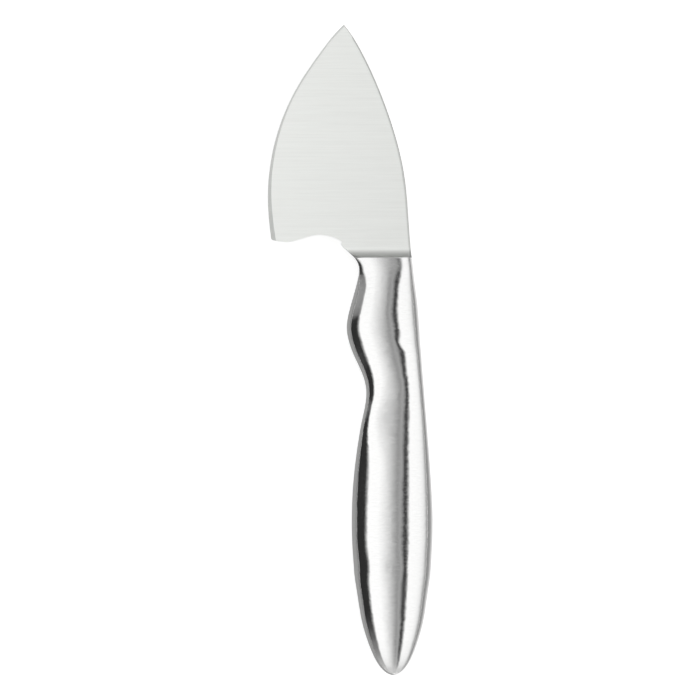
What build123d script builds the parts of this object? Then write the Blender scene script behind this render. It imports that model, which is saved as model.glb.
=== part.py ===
import os
from collections import namedtuple
from math import cos, radians, sin, tan

from build123d import *

# Parmesan knife in stainless steel, in millimetres: a leaf-shaped blade forged in one with its
# bolster, and a hollow handle of two pressed half shells welded along the knife's mid-plane.
# The knife lies on its side. +Y runs to the blade's tip, +X to the spine, +Z is up, through the
# thickness. The origin is on the table, under the middle of the knife's outline.
#
# Outline points are (across, ahead): across is measured from the knife's axis, positive to the
# spine, and ahead from the crest of the bolster, positive to the tip.

# Cutting edge, from the heel to the tip
heel_corner = (-33.5, 5.4)
edge_widest = (-34.5, 17.7)
edge_shoulder = (-31.2, 38.9)
edge_upper = (-24.5, 53.3)
edge_bow = (-17.9, 62.85)
tip = (-11.65, 70.1)

# Spine, from the tip to the bolster
spine_upper = (-6.25, 61.65)
spine_middle = (-0.75, 49.65)
spine_lower = (6.28, 25.8)
spine_root = (8.26, 4.05)

# Waved heel, from the heel corner to the notch behind it
heel_dip = (-28.9, 4.75)
heel_rise = (-18.7, 6.95)
heel_fall = (-15.1, 6.22)
notch_root = (-11.68, 4.05)
heel_corner_radius = 0.8

# Directions of the outline where its curves meet
edge_start = (-0.12, 1)
edge_end = (1.05, 1)
spine_start = (0.83, -1)
spine_end = (0.085, -1)
heel_start = (1, -0.2)
notch_slope = (0.9, -1.15)

# Blade, ground flat on both sides: it thins from the spine to the edge and from bolster to tip.
# The thinning is the loss of thickness for each millimetre.
spine_thickness = 2.0
thinning_to_edge = 0.0222
thinning_to_tip = 0.0166
bevel_angle = 20.0
edge_flat = 0.06
spine_break_angle = 30.0
spine_break_start = 10.0
spine_flat_at_tip = 0.1

# Bolster: the concave radius ground from the plate up to its crest, its depth behind the crest,
# and how far the plate runs on into it
bolster_radius = 3.8
bolster_depth = 5.0
plate_root_depth = 5.5

# Handle stations: step back from the station before, reach of the belly side and of the back
# side from the axis, thickness, and how far the section fills its corners on each side (0.55 is
# an ellipse, 1 a box)
Station = namedtuple("Station", "step belly back thick belly_fill back_fill")
throat = Station(step=0.0, belly=12.0, back=7.95, thick=8.9, belly_fill=0.72, back_fill=0.72)
crest = Station(step=5.0, belly=8.6, back=8.72, thick=8.9, belly_fill=0.72, back_fill=0.72)
neck = Station(step=4.1, belly=7.15, back=9.23, thick=9.2, belly_fill=0.72, back_fill=0.72)
collar = Station(step=3.9, belly=7.87, back=9.7, thick=9.95, belly_fill=0.7, back_fill=0.67)
shoulder = Station(step=4.75, belly=9.2, back=10.3, thick=10.9, belly_fill=0.69, back_fill=0.63)
swell = Station(step=8.15, belly=10.82, back=10.97, thick=11.5, belly_fill=0.67, back_fill=0.66)
flank = Station(step=7.5, belly=9.02, back=11.5, thick=10.4, belly_fill=0.62, back_fill=0.71)
waist = Station(step=10.9, belly=5.0, back=12.34, thick=9.1, belly_fill=0.75, back_fill=0.7)
grip = Station(step=8.7, belly=6.1, back=13.03, thick=9.0, belly_fill=0.86, back_fill=0.65)
rise = Station(step=10.4, belly=7.86, back=13.86, thick=10.6, belly_fill=0.64, back_fill=0.64)
flare = Station(step=9.6, belly=8.91, back=14.52, thick=12.3, belly_fill=0.6, back_fill=0.64)
palm = Station(step=10.5, belly=9.31, back=14.95, thick=13.6, belly_fill=0.64, back_fill=0.64)

# Tail of the handle: a half egg from the palm to the butt
handle_length = 125.15
butt_offset = 3.3

# Hollow handle and what locates it on the bolster
shell_wall = 1.2
spigot_depth = 3.0
spigot_gap = 0.1
tang_width = 8.0
tang_thickness = 2.0
tang_length = 22.0
tang_offset = 1.5

# Fineness of the lofted handle, how far short of the butt its last section stands as a share of
# a step, how many tail sections the guide lines run on through, the thinnest section that is
# still hollow, in walls, and room for the cutting tools outside the metal
station_steps = 18
tail_steps = 7
butt_step = 0.15
guide_tail_steps = 2
hollow_walls = 2.5
border_steps = 6
cut_reach = 2.5
clear = 10.0
tiny = 0.01

# The knife's mid-plane, placed so that the palm rests on the table under the outline's middle
middle_across = (palm.back + edge_widest[0]) / 2
middle_ahead = (tip[1] - handle_length) / 2
mid_plane = Plane(origin=(-middle_across, -middle_ahead, palm.thick / 2))


def cross_plane(ahead):
    """Plane square to the knife's axis, its y axis up through the thickness."""
    origin = mid_plane.from_local_coords((0, ahead, 0))
    return Plane(origin=origin, x_dir=(1, 0, 0), z_dir=(0, -1, 0))


def placed_sections(stations):
    """Sections at the stations from the throat on, each with its distance behind the crest."""
    behind = -crest.step
    sections = []
    for station in stations:
        behind += station.step
        sections.append(Section(behind, *station[1:]))
    return sections


def tail_turns():
    """Turns round the half egg of the tail, from the palm towards the butt."""
    return [radians(90 * (step - butt_step) / tail_steps) for step in range(1, tail_steps + 1)]


def tail_section(turn):
    """Section on the tail, where outline and thickness are quarter ellipses."""
    return Section(
        behind=palm_behind + (handle_length - palm_behind) * sin(turn),
        belly=(palm.belly + butt_offset) * cos(turn) - butt_offset,
        back=(palm.back - butt_offset) * cos(turn) + butt_offset,
        thick=palm.thick * cos(turn),
        belly_fill=palm.belly_fill,
        back_fill=palm.back_fill,
    )


Section = namedtuple("Section", "behind belly back thick belly_fill back_fill")
throat_to_waist = [throat, crest, neck, collar, shoulder, swell, flank, waist]
named_sections = placed_sections(throat_to_waist + [grip, rise, flare, palm])
throat_behind = named_sections[0].behind
palm_behind = named_sections[-1].behind
guide_sections = named_sections + [tail_section(turn) for turn in tail_turns()[:guide_tail_steps]]
guides = [
    Spline(*[(section[size], section.behind) for section in guide_sections])
    for size in range(1, len(Section._fields))
]


def guide_value(guide, behind):
    """Value of a guide line at a distance behind the crest."""
    return guide.edge().find_intersection_points(Axis((0, behind, 0), (1, 0, 0)))[0].X


def front_section(behind):
    """Section between the throat and the palm, read from the guide lines."""
    return Section(behind, *[guide_value(guide, behind) for guide in guides])


def section_face(section, inset):
    """Face of a section: a rounded box between the belly side and the back side."""
    middle = (section.back - section.belly) / 2
    half_width = (section.back + section.belly) / 2 - inset
    half_thick = section.thick / 2 - inset
    sides = ((-half_width, section.belly_fill), (half_width, section.back_fill))
    with BuildSketch(cross_plane(-section.behind)) as face:
        with BuildLine():
            for reach, fill in sides:
                for height in (-half_thick, half_thick):
                    Bezier(
                        (middle, height),
                        (middle + fill * reach, height),
                        (middle + reach, fill * height),
                        (middle + reach, 0),
                    )
        make_face()
    return face.sketch


def handle_form(inset=0.0):
    """The handle's outer form, or with an inset the hollow inside a wall of that thickness."""
    run = palm_behind - throat_behind
    places = [throat_behind + run * step / station_steps for step in range(station_steps)]
    sections = [front_section(behind) for behind in places] + [named_sections[-1]]
    sections += [tail_section(turn) for turn in tail_turns()]
    faces = [section_face(s, inset) for s in sections if s.thick > hollow_walls * inset]
    butt = Vertex(mid_plane.from_local_coords((butt_offset, inset - handle_length, 0)))
    with BuildPart() as form:
        loft(faces + [butt])
    return form.part


def half_thickness(across, ahead):
    """Height of the ground face above the mid-plane at a point of the outline."""
    to_edge = thinning_to_edge * (spine_root[0] - across)
    to_tip = thinning_to_tip * (ahead - spine_root[1])
    return (spine_thickness - to_edge - to_tip) / 2


def face_cutter():
    """Everything above the ground face and the concave radius of the bolster."""
    start = edge_widest[0] - clear
    far = tip[1] + clear
    side_plane = Plane(
        origin=mid_plane.from_local_coords((start, 0, 0)), x_dir=(0, 1, 0), z_dir=(1, 0, 0)
    )
    corner = (0, half_thickness(start, 0))
    with BuildPart() as cutter:
        with BuildSketch(side_plane) as side:
            with BuildLine():
                Polyline(corner, (far, half_thickness(start, far)), (far, clear), (0, clear), corner)
            make_face()
            fillet(side.vertices().sort_by_distance(corner)[0], bolster_radius)
        extrude(amount=2 * (clear - edge_widest[0]), dir=(1, 0, thinning_to_edge / 2))
    return cutter.part


def slanted_border(line, inset, plane, outside, overrun):
    """Region outside an outline curve, its border moved inwards by the inset."""
    places = [step / border_steps for step in range(border_steps + 1)]
    along = [line % place for place in places]
    points = [line @ places[i] + Vector(along[i].Y, -along[i].X) * inset for i in range(len(places))]
    before = points[0] - along[0] * clear
    after = points[-1] + along[-1] * overrun
    with BuildSketch(plane) as border:
        with BuildLine():
            Line(before, points[0])
            Spline(*points, tangents=[along[0], along[-1]])
            Polyline(points[-1], after, (outside, after.Y), (outside, before.Y), before)
        make_face()
    return border.sketch


def slanted_cutter(line, plane, angle, outside, overrun):
    """Everything above a ruled face that rises inwards through an outline curve at an angle."""
    rise = cut_reach * tan(radians(angle))
    lower = slanted_border(line, -cut_reach, plane.offset(-rise), outside, overrun)
    upper = slanted_border(line, cut_reach, plane.offset(rise), outside, overrun)
    with BuildPart() as cutter:
        loft([lower, upper], ruled=True)
    return cutter.part


edge_line = Spline(
    heel_corner,
    edge_widest,
    edge_shoulder,
    edge_upper,
    edge_bow,
    tip,
    tangents=[edge_start, edge_end],
)
spine_line = Spline(
    tip, spine_upper, spine_middle, spine_lower, spine_root, tangents=[spine_start, spine_end]
)
bevel_plane = mid_plane.offset(edge_flat / 2)
break_height = half_thickness(spine_root[0], spine_break_start)
break_fall = (break_height - spine_flat_at_tip / 2) / (tip[1] - spine_break_start)
break_plane = Plane(
    origin=mid_plane.from_local_coords((0, 0, break_height + break_fall * spine_break_start)),
    x_dir=(1, 0, 0),
    z_dir=(0, break_fall, 1),
)
edge_outside = edge_widest[0] - clear
spine_outside = spine_root[0] + clear
upper_cutters = [
    face_cutter(),
    slanted_cutter(edge_line, bevel_plane, bevel_angle, edge_outside, overrun=clear),
    slanted_cutter(spine_line, break_plane, spine_break_angle, spine_outside, overrun=tiny),
]
ground_faces = upper_cutters + [mirror(cutter, about=mid_plane) for cutter in upper_cutters]

joint_plane = cross_plane(-bolster_depth)
spigot_plane = cross_plane(-bolster_depth - spigot_depth)
outer_form = handle_form()
bolster_form = split(outer_form, bisect_by=joint_plane, keep=Keep.BOTTOM)
wall_form = split(outer_form - handle_form(shell_wall), bisect_by=joint_plane, keep=Keep.TOP)
spigot_form = split(handle_form(shell_wall + spigot_gap), bisect_by=joint_plane, keep=Keep.TOP)
spigot_form = split(spigot_form, bisect_by=spigot_plane, keep=Keep.BOTTOM)

# Blade, bolster, spigot and tang: one forging, ground on both sides
with BuildPart() as blade:
    add(bolster_form)
    with BuildSketch(mid_plane) as outline:
        with BuildLine():
            add([edge_line, spine_line])
            spine_end_point = PolarLine(spine_root, plate_root_depth, direction=spine_end)
            notch_end_point = PolarLine(notch_root, plate_root_depth, direction=notch_slope)
            Line(spine_end_point @ 1, notch_end_point @ 1)
            Spline(
                heel_corner,
                heel_dip,
                heel_rise,
                heel_fall,
                notch_root,
                tangents=[heel_start, notch_slope],
            )
        make_face()
        fillet(outline.vertices().sort_by_distance(heel_corner)[0], heel_corner_radius)
    extrude(amount=half_thickness(spine_root[0], spine_root[1] - plate_root_depth), both=True)
    add(ground_faces, mode=Mode.SUBTRACT)
    add(spigot_form)
    with BuildSketch(spigot_plane):
        with Locations((tang_offset, 0)):
            Rectangle(tang_width, tang_thickness)
    extrude(amount=tang_length - spigot_depth)

# Handle: two half shells, edge to edge on the mid-plane and butted on the rear of the bolster
with BuildPart() as handle_shell_front:
    add(wall_form)
    split(bisect_by=mid_plane, keep=Keep.TOP)
with BuildPart() as handle_shell_back:
    add(wall_form)
    split(bisect_by=mid_plane, keep=Keep.BOTTOM)

blade.part.label = "blade"
handle_shell_front.part.label = "handle_shell_front"
handle_shell_back.part.label = "handle_shell_back"

os.makedirs("parts", exist_ok=True)
export_step(blade.part, "parts/blade.step")
export_step(handle_shell_front.part, "parts/handle_shell_front.step")
export_step(handle_shell_back.part, "parts/handle_shell_back.step")
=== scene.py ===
"""Parmesan knife: the finish of its blade and of its hollow handle, and a soft light tent round it."""

from math import radians

import bmesh
import bpy
from bpy.props import FloatProperty, FloatVectorProperty, PointerProperty
from mathutils import Matrix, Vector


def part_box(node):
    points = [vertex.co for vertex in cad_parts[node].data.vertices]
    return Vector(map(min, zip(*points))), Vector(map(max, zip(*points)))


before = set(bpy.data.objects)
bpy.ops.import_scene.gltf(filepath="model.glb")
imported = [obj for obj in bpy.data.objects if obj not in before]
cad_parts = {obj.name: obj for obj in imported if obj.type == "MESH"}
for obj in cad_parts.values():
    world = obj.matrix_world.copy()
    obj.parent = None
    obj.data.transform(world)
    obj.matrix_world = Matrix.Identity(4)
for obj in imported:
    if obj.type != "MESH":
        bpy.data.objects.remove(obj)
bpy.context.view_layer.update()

bl_info = {
    "name": "Parmesan Knife",
    "version": (1, 0, 0),
    "blender": (4, 5, 0),
    "location": "View3D > Sidebar > Knife",
    "description": "Dresses the solids of a parmesan knife and sets the table, lights and camera",
    "category": "Object",
}

MID_HEIGHT = (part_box("blade")[0].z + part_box("blade")[1].z) / 2
HANDLE_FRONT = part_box("handle_shell_front")[1].y
BOLSTER_DEPTH = 0.005
BOLSTER_RADIUS = 0.004
CREST = HANDLE_FRONT + BOLSTER_DEPTH
MID_ACROSS = (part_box("handle_shell_front")[0].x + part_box("handle_shell_front")[1].x) / 2
# Light tent, by the angle in degrees round the knife's axis from straight above, positive to the
# spine side, and the brightness there
TENT_STOPS = [
    (-98.0, 0.35), (-47.0, 0.33), (-43.0, 0.36), (-40.0, 0.8), (-37.5, 1.14), (-16.0, 1.12),
    (-10.5, 1.0), (-5.0, 0.85), (-1.0, 0.68), (3.0, 0.47), (6.2, 0.31), (10.2, 0.42), (12.6, 0.28),
    (14.6, 0.06), (18.6, 0.04), (21.0, 0.4), (24.0, 1.13), (50.0, 1.07), (62.0, 0.97),
    (70.0, 0.84), (78.0, 0.6), (84.0, 0.42), (90.0, 0.36), (98.0, 0.34),
]
# Share of that brightness towards the tip's end of the tent, by the distance in metres from its
# middle, and how far white cloth takes over near that end and grey cloth at the butt's end
TIP_STOPS = [(0.06, 1.0), (0.2, 0.97), (0.9, 0.97), (1.3, 0.3), (2.6, 0.08)]
WHITE_STOPS = [(0.3, 0.0), (0.42, 1.0), (0.85, 1.0), (1.2, 0.0)]
WHITE_LEVEL = 1.25
BUTT_STOPS = [(-1.3, 0.9), (-0.45, 0.0)]
BUTT_LEVEL = 0.65
# Black flag hung low on the edge's side of the tent: how far it covers the tent by the distance
# along it, and by the angle
FLAG_STOPS = [(-0.75, 0.0), (-0.55, 0.4), (-0.42, 0.85), (-0.3, 1.0), (0.1, 1.0), (0.2, 0.3), (0.3, 0.0)]
FLAG_TURN_STOPS = [(-50.0, 1.0), (-43.0, 0.0)]
FLAG_LEVEL = 0.03
# Grey card flat on the table round the handle, seen only in its reflections: distance in metres
# across the knife from the middle of the handle, and brightness
CARD_STOPS = [
    (-0.3, 0.12), (-0.15, 0.18), (-0.08, 0.26), (-0.05, 0.33), (-0.02, 0.37), (0.0, 0.4),
    (0.004, 1.0), (0.008, 1.05), (0.013, 0.8), (0.02, 0.66), (0.028, 0.36), (0.05, 0.31),
    (0.08, 0.3), (0.3, 0.28),
]
# Bevels and broken edges of the blade, which get painted shade: how far their faces point up, from and
# to
BEVEL_RISE = (0.8, 0.97)
# Outline of the blade's spine, in metres along the knife and across it, and a painted dark line along
# it, standing in for the shade on its broken edge: how far in from the outline it is full, and where it
# ends
SPINE_STOPS = [
    (0.0265, 0.01858), (0.03076, 0.0181), (0.03861, 0.01751), (0.04765, 0.01681), (0.05518, 0.01572),
    (0.0603, 0.01457), (0.0659, 0.01301), (0.07185, 0.01104), (0.07819, 0.00862), (0.08422, 0.00599),
    (0.08962, 0.00329), (0.09337, 0.00115),
]
PAINTED_SPINE_LINE = (0.0004, 0.0007)
# Boxier section of the handle beside the crest, in its reflections alone: the section's middle across
# the knife and its half width, in metres, by the distance along the knife
SECTION_MIDDLES = [
    (-0.0009, 0.01102), (0.0066, 0.00985), (0.0148, 0.01033), (0.0195, 0.01069), (0.0234, 0.01082),
    (0.0275, 0.00984), (0.0325, 0.00778),
]
SECTION_HALVES = [
    (-0.0009, 0.01026), (0.0066, 0.0109), (0.0148, 0.00975), (0.0195, 0.00879), (0.0234, 0.00819),
    (0.0275, 0.00866), (0.0325, 0.00998),
]
# How much flatter the reflections take it on the edge's side and how much fuller on the spine's
# side, the power by which both rise to the rim, and where each is full and where it has faded out,
# in metres behind the crest
EDGE_FLATNESS = 4.0
SPINE_FULLNESS = 0.24
RIM_POWER = 3.9
EDGE_FADE = (-0.001, 0.01)
SPINE_FADE = (-0.006, 0.0205)
# Painted shade in the concave radius of the bolster: distances in metres ahead of the crest, from full
# to none
PAINTED_ROOT_SHADE = (0.0003, 0.0026)
# What each finish sets differently from the defaults of its settings
BLADE_FINISH = {"roughness": 0.66, "colour": (0.985, 0.997, 0.975), "line_contrast": 0.12}
HANDLE_FINISH = {
    "roughness": 0.09, "line_pitch": 0.25, "line_length": 2, "line_contrast": 0.2,
    "line_roughness": 0.3, "root_roughness": 0.1, "root_length": 8,
}
# Where the finish of the blade takes over from that of the handle, in metres ahead of the crest
FINISH_JOINT = (-0.0001, 0.0003)
# Grinding lines: how finely and how strongly they break up, and the height of their relief in metres
LINE_DETAIL = 4.0
LINE_BREAK = 0.7
LINE_RELIEF = 0.00002
PATCHES_PER_METRE = 60.0
PATCH_DETAIL = 2.0
# Brightness of the world as a light, which the background doesn't show
WORLD_LIGHT = 0.5
TABLE_HALF_SIZE = 3.0
TABLE_ROUGHNESS = 0.9
CARD_LIFT = 0.0002
TENT_STEPS = 96
# Camera: sensor width in millimetres, the point it looks down on, and the depth that it shows
SENSOR_WIDTH = 36.0
CAMERA_AIM = (-0.000065, -0.000075)
CAMERA_CLIP = (0.01, 20.0)


# Node helpers

def add_node(tree, kind, place, **settings):
    """Node of a kind at a place in a tree, with some of its settings."""
    node = tree.nodes.new(kind)
    node.location = place
    for name, value in settings.items():
        setattr(node, name, value)
    return node


def link(tree, source, target):
    tree.links.new(source, target)


def new_group(name, inputs, outputs):
    """Shader node group with float or vector inputs (name, kind, default) and outputs (name, kind)."""
    tree = bpy.data.node_groups.new(name, "ShaderNodeTree")
    for label, kind, default in inputs:
        socket = tree.interface.new_socket(label, in_out="INPUT", socket_type=kind)
        if default is not None:
            socket.default_value = default
    for label, kind in outputs:
        tree.interface.new_socket(label, in_out="OUTPUT", socket_type=kind)
    return tree


def mapped(tree, place, value, span, result=(0.0, 1.0), smooth=False):
    """Value carried from a span to a result, and held past both ends."""
    kind = "SMOOTHSTEP" if smooth else "LINEAR"
    node = add_node(tree, "ShaderNodeMapRange", place, interpolation_type=kind)
    node.inputs["From Min"].default_value, node.inputs["From Max"].default_value = span
    node.inputs["To Min"].default_value, node.inputs["To Max"].default_value = result
    link(tree, value, node.inputs["Value"])
    return node.outputs["Result"]


def ramp(tree, place, stops, value):
    """Colour ramp of grey levels over a value, from (position, level) stops in rising order."""
    low, high = stops[0][0], stops[-1][0]
    node = add_node(tree, "ShaderNodeValToRGB", place)
    elements = node.color_ramp.elements
    while len(elements) < len(stops):
        elements.new(0.5)
    for element, (position, level) in zip(elements, stops):
        element.position = (position - low) / (high - low)
        element.color = (level, level, level, 1)
    share = mapped(tree, (place[0] - 200, place[1]), value, (low, high))
    link(tree, share, node.inputs["Fac"])
    return node.outputs["Color"]


def number(tree, place, operation, *values):
    """Math node on numbers or sockets."""
    node = add_node(tree, "ShaderNodeMath", place, operation=operation)
    for socket, value in zip(node.inputs, values):
        if isinstance(value, float):
            socket.default_value = value
        else:
            link(tree, value, socket)
    return node.outputs[0]


def ground_steel_group():
    """Fine parallel grinding lines across the knife, and soft patches where the belt pressed harder."""
    found = bpy.data.node_groups.get("Ground Steel")
    if found:
        return found
    tree = new_group(
        "Ground Steel",
        [
            ("Vector", "NodeSocketVector", None),
            ("Colour", "NodeSocketColor", (0.88, 0.88, 0.88, 1)),
            ("Roughness", "NodeSocketFloat", 0.2),
            ("Roughness Spread", "NodeSocketFloat", 0.03),
            ("Line Pitch", "NodeSocketFloat", 0.0004),
            ("Line Length", "NodeSocketFloat", 0.02),
            ("Line Contrast", "NodeSocketFloat", 0.05),
            ("Line Depth", "NodeSocketFloat", 0.2),
            ("Line Roughness", "NodeSocketFloat", 0.0),
            ("Root Roughness", "NodeSocketFloat", 0.0),
            ("Root Length", "NodeSocketFloat", 0.01),
        ],
        [
            ("Colour", "NodeSocketColor"),
            ("Roughness", "NodeSocketFloat"),
            ("Height", "NodeSocketFloat"),
        ],
    )
    start = add_node(tree, "NodeGroupInput", (-1200, 0))
    end = add_node(tree, "NodeGroupOutput", (700, 0))
    across = number(tree, (-950, 300), "DIVIDE", 1.0, start.outputs["Line Length"])
    along = number(tree, (-950, 100), "DIVIDE", 1.0, start.outputs["Line Pitch"])
    stretch = add_node(tree, "ShaderNodeCombineXYZ", (-750, 200))
    link(tree, across, stretch.inputs["X"])
    link(tree, along, stretch.inputs["Y"])
    link(tree, across, stretch.inputs["Z"])
    scaled = add_node(tree, "ShaderNodeVectorMath", (-550, 200), operation="MULTIPLY")
    link(tree, start.outputs["Vector"], scaled.inputs[0])
    link(tree, stretch.outputs["Vector"], scaled.inputs[1])
    lines = add_node(tree, "ShaderNodeTexNoise", (-350, 200))
    lines.inputs["Scale"].default_value = 1.0
    lines.inputs["Detail"].default_value = LINE_DETAIL
    lines.inputs["Roughness"].default_value = LINE_BREAK
    link(tree, scaled.outputs["Vector"], lines.inputs["Vector"])
    patches = add_node(tree, "ShaderNodeTexNoise", (-350, -200))
    patches.inputs["Scale"].default_value = PATCHES_PER_METRE
    patches.inputs["Detail"].default_value = PATCH_DETAIL
    link(tree, start.outputs["Vector"], patches.inputs["Vector"])
    streak = number(tree, (-150, 200), "SUBTRACT", lines.outputs["Fac"], 0.5)
    tone = number(tree, (0, 200), "MULTIPLY", streak, start.outputs["Line Contrast"])
    tone = number(tree, (150, 200), "ADD", tone, 1.0)
    shade = add_node(tree, "ShaderNodeVectorMath", (350, 200), operation="SCALE")
    link(tree, start.outputs["Colour"], shade.inputs[0])
    link(tree, tone, shade.inputs["Scale"])
    link(tree, shade.outputs["Vector"], end.inputs["Colour"])
    rough = number(tree, (-150, -200), "SUBTRACT", patches.outputs["Fac"], 0.5)
    rough = number(tree, (0, -200), "MULTIPLY", rough, start.outputs["Roughness Spread"])
    rough = number(tree, (150, -200), "ADD", rough, start.outputs["Roughness"])
    scratch = number(tree, (300, 0), "MULTIPLY", streak, start.outputs["Line Roughness"])
    rough = number(tree, (350, -150), "ADD", rough, scratch)
    parts = add_node(tree, "ShaderNodeSeparateXYZ", (-750, -450))
    link(tree, start.outputs["Vector"], parts.inputs["Vector"])
    behind = number(tree, (-550, -450), "SUBTRACT", CREST, parts.outputs["Y"])
    behind = number(tree, (-400, -450), "DIVIDE", behind, start.outputs["Root Length"])
    root = mapped(tree, (-200, -450), behind, (0.0, 1.0), (1.0, 0.0), smooth=True)
    more = number(tree, (0, -450), "MULTIPLY", root, start.outputs["Root Roughness"])
    link(tree, number(tree, (350, -300), "ADD", rough, more), end.inputs["Roughness"])
    height = number(tree, (0, 0), "MULTIPLY", lines.outputs["Fac"], start.outputs["Line Depth"])
    link(tree, height, end.inputs["Height"])
    return tree


def full_section_group():
    """Normal of a boxier section beside the crest than the solid has, for the reflections."""
    found = bpy.data.node_groups.get("Full Section")
    if found:
        return found
    tree = new_group(
        "Full Section",
        [("Vector", "NodeSocketVector", None), ("Normal", "NodeSocketVector", None)],
        [("Normal", "NodeSocketVector")],
    )
    start = add_node(tree, "NodeGroupInput", (-1800, 0))
    end = add_node(tree, "NodeGroupOutput", (1200, 0))
    at = add_node(tree, "ShaderNodeSeparateXYZ", (-1600, 200))
    link(tree, start.outputs["Vector"], at.inputs["Vector"])
    facing = add_node(tree, "ShaderNodeSeparateXYZ", (-1600, -300))
    link(tree, start.outputs["Normal"], facing.inputs["Vector"])

    # Place in the section, from 0 in its middle to 1 at the rim, and which side it is on
    middle = ramp(tree, (-1200, 500), SECTION_MIDDLES, at.outputs["Y"])
    half = ramp(tree, (-1200, 200), SECTION_HALVES, at.outputs["Y"])
    offset = number(tree, (-900, 400), "SUBTRACT", at.outputs["X"], middle)
    share = number(tree, (-750, 400), "DIVIDE", offset, half)
    rim = number(tree, (-600, 400), "ABSOLUTE", share)
    rim = number(tree, (-450, 400), "MINIMUM", rim, 1.0)
    rise = number(tree, (-300, 400), "POWER", rim, RIM_POWER)
    spine_side = number(tree, (-600, 600), "GREATER_THAN", share, 0.0)
    edge_side = number(tree, (-450, 700), "SUBTRACT", 1.0, spine_side)
    behind = number(tree, (-900, -100), "LESS_THAN", at.outputs["Y"], CREST)
    amounts = []
    for row, (side, amount, (near, far)) in enumerate(
        ((edge_side, EDGE_FLATNESS, EDGE_FADE), (spine_side, SPINE_FULLNESS, SPINE_FADE))
    ):
        height = -300 - 300 * row
        span = (CREST - far, CREST - near)
        faded = mapped(tree, (-900, height), at.outputs["Y"], span, (0.0, amount), smooth=True)
        faded = number(tree, (-700, height), "MULTIPLY", faded, behind)
        amounts.append(number(tree, (-550, height), "MULTIPLY", faded, side))
    flatter, fuller = amounts

    # On the spine's side the normal turns as on a section raised towards the rim. On the edge's side
    # it is flattened.
    taller = number(tree, (-100, 400), "MULTIPLY_ADD", rise, fuller, 1.0)
    slope = number(tree, (-300, 100), "POWER", rim, RIM_POWER - 1.0)
    slope = number(tree, (-150, 100), "MULTIPLY", slope, fuller)
    slope = number(tree, (0, 100), "MULTIPLY", slope, RIM_POWER)
    slope = number(tree, (150, 100), "DIVIDE", slope, half)
    height = number(tree, (-150, -100), "SUBTRACT", at.outputs["Z"], MID_HEIGHT)
    tilt = number(tree, (0, -100), "MULTIPLY", height, facing.outputs["Z"])
    tilt = number(tree, (300, 0), "MULTIPLY", slope, tilt)
    across = number(tree, (150, 300), "MULTIPLY", taller, facing.outputs["X"])
    across = number(tree, (450, 200), "SUBTRACT", across, tilt)
    along = number(tree, (450, 0), "MULTIPLY", taller, facing.outputs["Y"])
    lift = number(tree, (150, -300), "MULTIPLY_ADD", rise, flatter, 1.0)
    lift = number(tree, (450, -200), "MULTIPLY", lift, facing.outputs["Z"])
    turned = add_node(tree, "ShaderNodeCombineXYZ", (600, 0))
    for part, value in zip("XYZ", (across, along, lift)):
        link(tree, value, turned.inputs[part])
    world = add_node(
        tree, "ShaderNodeVectorTransform", (800, 0), vector_type="NORMAL",
        convert_from="OBJECT", convert_to="WORLD",
    )
    link(tree, turned.outputs["Vector"], world.inputs["Vector"])
    unit = add_node(tree, "ShaderNodeVectorMath", (1000, 0), operation="NORMALIZE")
    link(tree, world.outputs["Vector"], unit.inputs[0])
    link(tree, unit.outputs["Vector"], end.inputs["Normal"])
    return tree


def finish_node(tree, place, settings, vector):
    """Ground steel with the settings of one finish."""
    node = add_node(tree, "ShaderNodeGroup", place, node_tree=ground_steel_group())
    values = {
        "Colour": (*settings.colour, 1),
        "Roughness": settings.roughness,
        "Roughness Spread": settings.roughness_spread,
        "Line Pitch": settings.line_pitch / 1000,
        "Line Length": settings.line_length / 1000,
        "Line Contrast": settings.line_contrast,
        "Line Depth": settings.line_depth,
        "Line Roughness": settings.line_roughness,
        "Root Roughness": settings.root_roughness,
        "Root Length": settings.root_length / 1000,
    }
    for name, value in values.items():
        node.inputs[name].default_value = value
    link(tree, vector, node.inputs["Vector"])
    return node


def mixed(tree, place, kind, share, first, second):
    """Mix of two sockets by a mask."""
    node = add_node(tree, "ShaderNodeMix", place, data_type=kind)
    first_socket, second_socket = [s for s in node.inputs if s.name in "AB" and s.enabled]
    link(tree, share, node.inputs["Factor"])
    link(tree, first, first_socket)
    link(tree, second, second_socket)
    return next(s for s in node.outputs if s.enabled)


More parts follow.
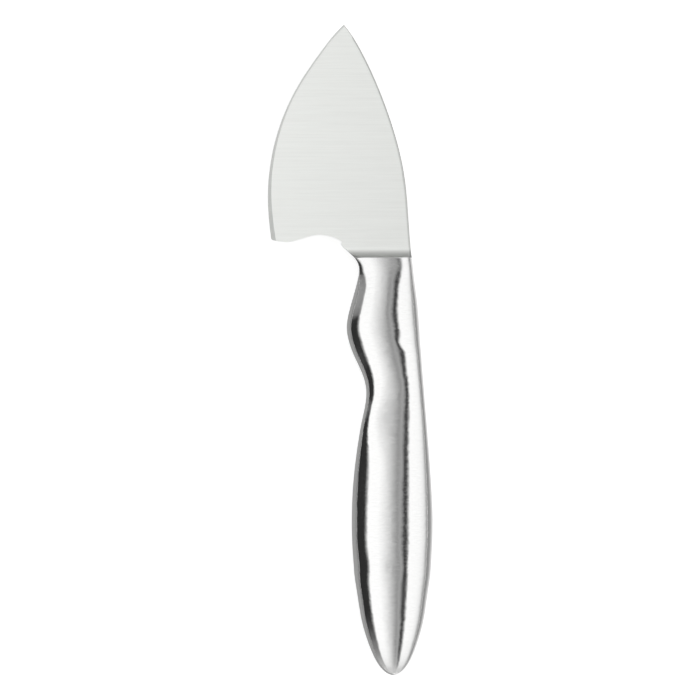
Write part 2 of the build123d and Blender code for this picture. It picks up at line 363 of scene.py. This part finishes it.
def blade_painted_shade(tree, colour, parts, settings):
    """The blade's colour with painted shade: darker towards the spine, on its bevels, along the spine's
    edge and in the bolster's radius.
    """
    first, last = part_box("blade")[0].x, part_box("blade")[1].x
    # Painted shade: the blade's colour falls darker from the edge to the spine
    tone = mapped(
        tree, (-900, 700), parts.outputs["X"], (first, last), (1.0, 1.0 - settings.painted_spine_shade)
    )
    # Painted shade on the bevels and broken edges, picked out by how far their faces point up
    facing = add_node(tree, "ShaderNodeNewGeometry", (-1400, 900))
    rise = add_node(tree, "ShaderNodeSeparateXYZ", (-1200, 900))
    link(tree, facing.outputs["True Normal"], rise.inputs["Vector"])
    height = number(tree, (-1050, 900), "ABSOLUTE", rise.outputs["Z"])
    low, high = BEVEL_RISE
    slanted = number(tree, (-900, 900), "COMPARE", height, (low + high) / 2, (high - low) / 2)
    clear = number(tree, (-900, 1100), "GREATER_THAN", parts.outputs["Y"], CREST + BOLSTER_RADIUS)
    bevel = number(tree, (-700, 1000), "MULTIPLY", slanted, clear)
    painted_bevel_factor = number(tree, (-550, 1000), "MULTIPLY_ADD", bevel, -settings.painted_bevel_shade, 1.0)
    # Painted shade in a thin line inside the spine's outline, standing in for the darker reflection of
    # its edge
    spine = ramp(tree, (-900, 1300), SPINE_STOPS, parts.outputs["Y"])
    inside = number(tree, (-600, 1300), "SUBTRACT", spine, parts.outputs["X"])
    painted_spine_line_factor = mapped(
        tree, (-400, 1300), inside, PAINTED_SPINE_LINE, (1.0 - settings.painted_spine_line_shade, 1.0)
    )
    # Painted shade in the bolster's concave radius, darkest near the crest
    ahead = number(tree, (-600, 1500), "SUBTRACT", parts.outputs["Y"], CREST)
    painted_root_factor = mapped(tree, (-400, 1500), ahead, PAINTED_ROOT_SHADE, (1.0 - settings.painted_root_shade, 1.0))
    for step, factor in enumerate((painted_bevel_factor, painted_spine_line_factor, painted_root_factor)):
        tone = number(tree, (-250 + 150 * step, 1000), "MULTIPLY", tone, factor)
    shade = add_node(tree, "ShaderNodeVectorMath", (250, 800), operation="SCALE")
    link(tree, colour, shade.inputs[0])
    link(tree, tone, shade.inputs["Scale"])
    return shade.outputs["Vector"]


def steel(name, settings, ahead=None):
    """Bare stainless steel in one finish, or with a second finish and painted shade ahead of the
    bolster's crest.
    """
    material = bpy.data.materials.new(name)
    material.use_nodes = True
    tree = material.node_tree
    tree.nodes.clear()
    place = add_node(tree, "ShaderNodeTexCoord", (-1400, 0))
    finish = finish_node(tree, (-900, 200), settings, place.outputs["Object"])
    colour, rough, height = finish.outputs
    if ahead:
        parts = add_node(tree, "ShaderNodeSeparateXYZ", (-1150, -300))
        link(tree, place.outputs["Object"], parts.inputs["Vector"])
        joint = [CREST + distance for distance in FINISH_JOINT]
        share = mapped(tree, (-900, -500), parts.outputs["Y"], joint)
        front = finish_node(tree, (-900, -150), ahead, place.outputs["Object"])
        # The blade's colour with its painted shade
        painted_shade_colour = blade_painted_shade(tree, front.outputs["Colour"], parts, ahead)
        colour = mixed(tree, (-600, 300), "RGBA", share, colour, painted_shade_colour)
        rough = mixed(tree, (-600, 0), "FLOAT", share, rough, front.outputs["Roughness"])
        height = mixed(tree, (-600, -300), "FLOAT", share, height, front.outputs["Height"])
    bump = add_node(tree, "ShaderNodeBump", (-350, -250))
    bump.inputs["Distance"].default_value = LINE_RELIEF
    link(tree, height, bump.inputs["Height"])
    section = add_node(tree, "ShaderNodeGroup", (-600, -550), node_tree=full_section_group())
    link(tree, place.outputs["Object"], section.inputs["Vector"])
    link(tree, place.outputs["Normal"], section.inputs["Normal"])
    link(tree, section.outputs["Normal"], bump.inputs["Normal"])
    shader = add_node(tree, "ShaderNodeBsdfPrincipled", (-100, 100))
    shader.inputs["Metallic"].default_value = 1.0
    link(tree, colour, shader.inputs["Base Color"])
    link(tree, rough, shader.inputs["Roughness"])
    link(tree, bump.outputs["Normal"], shader.inputs["Normal"])
    output = add_node(tree, "ShaderNodeOutputMaterial", (250, 100))
    link(tree, shader.outputs["BSDF"], output.inputs["Surface"])
    return material


def dress(node, material):
    """Gives a solid of the frame a finish."""
    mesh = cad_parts[node].data
    mesh.materials.clear()
    mesh.materials.append(material)


def stage_object(name, bm, material):
    """Object of the stage from a finished bmesh."""
    mesh = bpy.data.meshes.new(name)
    bm.to_mesh(mesh)
    bm.free()
    mesh.materials.append(material)
    thing = bpy.data.objects.new(name, mesh)
    bpy.context.scene.collection.objects.link(thing)
    return thing


def background_rays(tree, place):
    """1 for camera, glossy and transmission rays, which see the white background, and 0 for light."""
    path = add_node(tree, "ShaderNodeLightPath", place)
    seen = number(
        tree, (place[0] + 200, place[1]), "MAXIMUM",
        path.outputs["Is Camera Ray"], path.outputs["Is Glossy Ray"],
    )
    return number(
        tree, (place[0] + 400, place[1]), "MAXIMUM", seen, path.outputs["Is Transmission Ray"]
    )


def glowing(name):
    """Material with an emission shader alone, its node tree and that shader."""
    material = bpy.data.materials.new(name)
    material.use_nodes = True
    tree = material.node_tree
    tree.nodes.clear()
    light = add_node(tree, "ShaderNodeEmission", (0, 0))
    output = add_node(tree, "ShaderNodeOutputMaterial", (200, 0))
    link(tree, light.outputs["Emission"], output.inputs["Surface"])
    return material, tree, light


# Settings

class SteelSettings(bpy.types.PropertyGroup):
    colour: FloatVectorProperty(
        name="Colour", description="Colour of the bare steel", subtype="COLOR", size=3,
        min=0, max=1, default=(0.88, 0.88, 0.875),
    )
    roughness: FloatProperty(
        name="Roughness", description="Softness of the reflections", subtype="FACTOR",
        min=0, max=1, default=0.2,
    )
    roughness_spread: FloatProperty(
        name="Roughness spread", description="How much the softness varies over the surface",
        subtype="FACTOR", min=0, max=0.5, default=0.03,
    )
    line_pitch: FloatProperty(
        name="Line pitch", description="Distance between grinding lines, in millimetres",
        min=0.02, max=5, default=0.4,
    )
    line_length: FloatProperty(
        name="Line length", description="Length of a grinding line, in millimetres",
        min=1, max=200, default=20,
    )
    line_depth: FloatProperty(
        name="Line depth", description="Strength of the grinding lines' relief", subtype="FACTOR",
        min=0, max=1, default=0.2,
    )
    line_contrast: FloatProperty(
        name="Line contrast", description="How much the lines differ in tone", subtype="FACTOR",
        min=0, max=0.5, default=0.05,
    )
    line_roughness: FloatProperty(
        name="Line roughness", description="How much the lines differ in softness", subtype="FACTOR",
        min=0, max=1, default=0.0,
    )
    # Painted shade on the blade: how much its colour falls from the edge to the spine
    painted_spine_shade: FloatProperty(
        name="Spine shade", description="How much the tone falls from the edge to the spine",
        subtype="FACTOR", min=0, max=0.5, default=0.07,
    )
    # Painted shade on the bevels
    painted_bevel_shade: FloatProperty(
        name="Bevel shade", description="How much darker the bevels are", subtype="FACTOR",
        min=0, max=1, default=0.18,
    )
    # Painted shade along the spine's edge
    painted_spine_line_shade: FloatProperty(
        name="Spine line shade", description="How much darker the line along the spine is",
        subtype="FACTOR", min=0, max=1, default=0.25,
    )
    # Painted shade in the bolster's concave radius
    painted_root_shade: FloatProperty(
        name="Root shade", description="How much darker the bolster's concave radius is at its crest",
        subtype="FACTOR", min=0, max=1, default=0.48,
    )
    root_roughness: FloatProperty(
        name="Root roughness", description="Softness added beside the bolster's crest",
        subtype="FACTOR", min=0, max=1, default=0.0,
    )
    root_length: FloatProperty(
        name="Root length", description="How far back that softness reaches, in millimetres",
        min=1, max=60, default=12,
    )


class StageSettings(bpy.types.PropertyGroup):
    picture_width: FloatProperty(
        name="Picture width", description="Width of the view at the knife", subtype="DISTANCE",
        unit="LENGTH", default=0.21,
    )
    camera_distance: FloatProperty(
        name="Camera distance", description="Camera's distance from the knife",
        subtype="DISTANCE", unit="LENGTH", default=1.5,
    )
    tent_radius: FloatProperty(
        name="Tent radius", description="Radius of the light tent round the knife",
        subtype="DISTANCE", unit="LENGTH", default=0.8,
    )
    tent_half_length: FloatProperty(
        name="Tent half length", description="Half the length of the light tent",
        subtype="DISTANCE", unit="LENGTH", default=2.5,
    )
    tent_level: FloatProperty(
        name="Tent level", description="Brightness of the light tent", min=0, max=5, default=1.0,
    )
    card_size: FloatProperty(
        name="Card size", description="Side of the grey card round the handle",
        subtype="DISTANCE", unit="LENGTH", default=0.6,
    )
    table_colour: FloatVectorProperty(
        name="Table colour", description="Colour of the table", subtype="COLOR", size=3,
        min=0, max=1, default=(0.85, 0.85, 0.85),
    )
    table_glow: FloatProperty(
        name="Table glow", description="Background brightness added to the table", min=0, max=1,
        default=0.56,
    )


# Operators

class KNIFE_OT_blade(bpy.types.Operator):
    """Give the blade its ground finish with painted shade, and its bolster the finish of the handle"""

    bl_idname = "knife.blade"
    bl_label = "Finish Blade"

    def execute(self, context):
        scene = context.scene
        dress("blade", steel("Blade steel", scene.knife_handle, ahead=scene.knife_blade))
        return {"FINISHED"}


class KNIFE_OT_handle(bpy.types.Operator):
    """Give the hollow handle its soft satin finish"""

    bl_idname = "knife.handle"
    bl_label = "Finish Handle"

    def execute(self, context):
        material = steel("Handle steel", context.scene.knife_handle)
        dress("handle_shell_front", material)
        dress("handle_shell_back", material)
        return {"FINISHED"}


class KNIFE_OT_stage(bpy.types.Operator):
    """Set the table, the light tent and the camera"""

    bl_idname = "knife.stage"
    bl_label = "Set Stage"

    def execute(self, context):
        settings = context.scene.knife_stage
        scene = context.scene
        scene.view_settings.view_transform = "Standard"
        self.make_world(scene)
        self.make_table(settings)
        self.make_card(settings)
        self.make_tent(settings)
        self.make_camera(scene, settings)
        return {"FINISHED"}

    def make_world(self, scene):
        world = bpy.data.worlds.new("Studio")
        scene.world = world
        world.use_nodes = True
        tree = world.node_tree
        tree.nodes.clear()
        level = mapped(
            tree, (-200, 100), background_rays(tree, (-800, 100)), (0.0, 1.0), (WORLD_LIGHT, 1.0)
        )
        background = add_node(tree, "ShaderNodeBackground", (0, 100))
        background.inputs["Color"].default_value = (1, 1, 1, 1)
        link(tree, level, background.inputs["Strength"])
        output = add_node(tree, "ShaderNodeOutputWorld", (200, 100))
        link(tree, background.outputs["Background"], output.inputs["Surface"])

    def make_table(self, settings):
        material = bpy.data.materials.new("Table")
        material.use_nodes = True
        tree = material.node_tree
        tree.nodes.clear()
        glow = number(
            tree, (-200, 100), "MULTIPLY", background_rays(tree, (-800, 100)), settings.table_glow
        )
        shader = add_node(tree, "ShaderNodeBsdfPrincipled", (0, 100))
        shader.inputs["Base Color"].default_value = (*settings.table_colour, 1)
        shader.inputs["Roughness"].default_value = TABLE_ROUGHNESS
        shader.inputs["Specular IOR Level"].default_value = 0.0
        shader.inputs["Emission Color"].default_value = (1, 1, 1, 1)
        link(tree, glow, shader.inputs["Emission Strength"])
        output = add_node(tree, "ShaderNodeOutputMaterial", (300, 100))
        link(tree, shader.outputs["BSDF"], output.inputs["Surface"])
        bm = bmesh.new()
        bmesh.ops.create_grid(bm, x_segments=1, y_segments=1, size=TABLE_HALF_SIZE)
        stage_object("table", bm, material)

    def make_card(self, settings):
        material, tree, light = glowing("Grey card")
        place = add_node(tree, "ShaderNodeTexCoord", (-1000, 0))
        parts = add_node(tree, "ShaderNodeSeparateXYZ", (-800, 0))
        link(tree, place.outputs["Object"], parts.inputs["Vector"])
        stops = [(MID_ACROSS + across, level) for across, level in CARD_STOPS]
        link(tree, ramp(tree, (-300, 0), stops, parts.outputs["X"]), light.inputs["Color"])
        bm = bmesh.new()
        bmesh.ops.create_grid(bm, x_segments=1, y_segments=1, size=settings.card_size / 2)
        bmesh.ops.translate(bm, verts=bm.verts, vec=(MID_ACROSS, 0, CARD_LIFT))
        card = stage_object("grey_card", bm, material)
        card.visible_camera = card.visible_diffuse = card.visible_shadow = False
        card.visible_transmission = False

    def mixed_level(self, tree, place, share, shown, level):
        """A plain level laid over a shown brightness by a share."""
        node = add_node(tree, "ShaderNodeMix", place)
        node.inputs["B"].default_value = level
        link(tree, share, node.inputs["Factor"])
        link(tree, shown, node.inputs["A"])
        return node.outputs["Result"]

    def make_tent(self, settings):
        material, tree, light = glowing("Light tent")
        place = add_node(tree, "ShaderNodeTexCoord", (-1800, 0))
        parts = add_node(tree, "ShaderNodeSeparateXYZ", (-1600, 0))
        link(tree, place.outputs["Object"], parts.inputs["Vector"])
        turn = number(tree, (-1400, 0), "ARCTAN2", parts.outputs["X"], parts.outputs["Z"])
        top = max(level for _, level in TENT_STOPS)
        stops = [(radians(angle), level / top) for angle, level in TENT_STOPS]
        round_knife = ramp(tree, (-900, 300), stops, turn)
        to_tip = ramp(tree, (-900, 0), TIP_STOPS, parts.outputs["Y"])
        shown = number(tree, (-500, 200), "MULTIPLY", round_knife, to_tip)
        to_butt = ramp(tree, (-900, -250), BUTT_STOPS, parts.outputs["Y"])
        shown = self.mixed_level(tree, (-350, 100), to_butt, shown, BUTT_LEVEL / top)
        white = ramp(tree, (-900, -1000), WHITE_STOPS, parts.outputs["Y"])
        shown = self.mixed_level(tree, (-300, 50), white, shown, WHITE_LEVEL / top)
        flag_turn = [(radians(angle), cover) for angle, cover in FLAG_TURN_STOPS]
        flag = number(
            tree, (-500, -400), "MULTIPLY",
            ramp(tree, (-900, -500), FLAG_STOPS, parts.outputs["Y"]),
            ramp(tree, (-900, -750), flag_turn, turn),
        )
        shown = self.mixed_level(tree, (-200, 0), flag, shown, FLAG_LEVEL / top)
        light.inputs["Strength"].default_value = settings.tent_level * top
        link(tree, shown, light.inputs["Color"])

        first, last = radians(TENT_STOPS[0][0]), radians(TENT_STOPS[-1][0])
        half = settings.tent_half_length
        bm = bmesh.new()
        ends = [bm.verts.new((0, y, settings.tent_radius)) for y in (-half, half)]
        bm.edges.new(ends)
        bmesh.ops.rotate(bm, verts=bm.verts, matrix=Matrix.Rotation(first, 3, "Y"))
        bmesh.ops.spin(
            bm, geom=bm.verts[:] + bm.edges[:], cent=(0, 0, 0), axis=(0, 1, 0),
            angle=last - first, steps=TENT_STEPS, use_duplicate=False,
        )
        for end in (-half, half):
            turned = Matrix.Translation((0, end, 0)) @ Matrix.Rotation(radians(90), 4, "X")
            bmesh.ops.create_circle(
                bm, cap_ends=True, segments=TENT_STEPS, radius=settings.tent_radius, matrix=turned
            )
        tent = stage_object("light_tent", bm, material)
        tent.visible_camera = tent.visible_shadow = False

    def make_camera(self, scene, settings):
        camera = bpy.data.cameras.new("Camera")
        camera.sensor_width = SENSOR_WIDTH
        camera.lens = camera.sensor_width * settings.camera_distance / settings.picture_width
        camera.clip_start, camera.clip_end = CAMERA_CLIP
        viewer = bpy.data.objects.new("Camera", camera)
        viewer.location = (*CAMERA_AIM, MID_HEIGHT + settings.camera_distance)
        scene.collection.objects.link(viewer)
        scene.camera = viewer


class KNIFE_PT_panel(bpy.types.Panel):
    """Steps of the parmesan knife"""

    bl_idname = "KNIFE_PT_panel"
    bl_label = "Parmesan Knife"
    bl_space_type = "VIEW_3D"
    bl_region_type = "UI"
    bl_category = "Knife"

    def draw(self, context):
        layout = self.layout
        for operator in (KNIFE_OT_blade, KNIFE_OT_handle, KNIFE_OT_stage):
            layout.operator(operator.bl_idname)


classes = (SteelSettings, StageSettings, KNIFE_OT_blade, KNIFE_OT_handle, KNIFE_OT_stage, KNIFE_PT_panel)


def register():
    for item in classes:
        bpy.utils.register_class(item)
    bpy.types.Scene.knife_blade = PointerProperty(type=SteelSettings)
    bpy.types.Scene.knife_handle = PointerProperty(type=SteelSettings)
    bpy.types.Scene.knife_stage = PointerProperty(type=StageSettings)


def unregister():
    del bpy.types.Scene.knife_stage
    del bpy.types.Scene.knife_handle
    del bpy.types.Scene.knife_blade
    for item in reversed(classes):
        bpy.utils.unregister_class(item)


def main():
    register()
    scene = bpy.context.scene
    for settings, values in ((scene.knife_blade, BLADE_FINISH), (scene.knife_handle, HANDLE_FINISH)):
        for name, value in values.items():
            setattr(settings, name, value)
    bpy.ops.knife.blade()
    bpy.ops.knife.handle()
    bpy.ops.knife.stage()


if __name__ == "__main__":
    main()
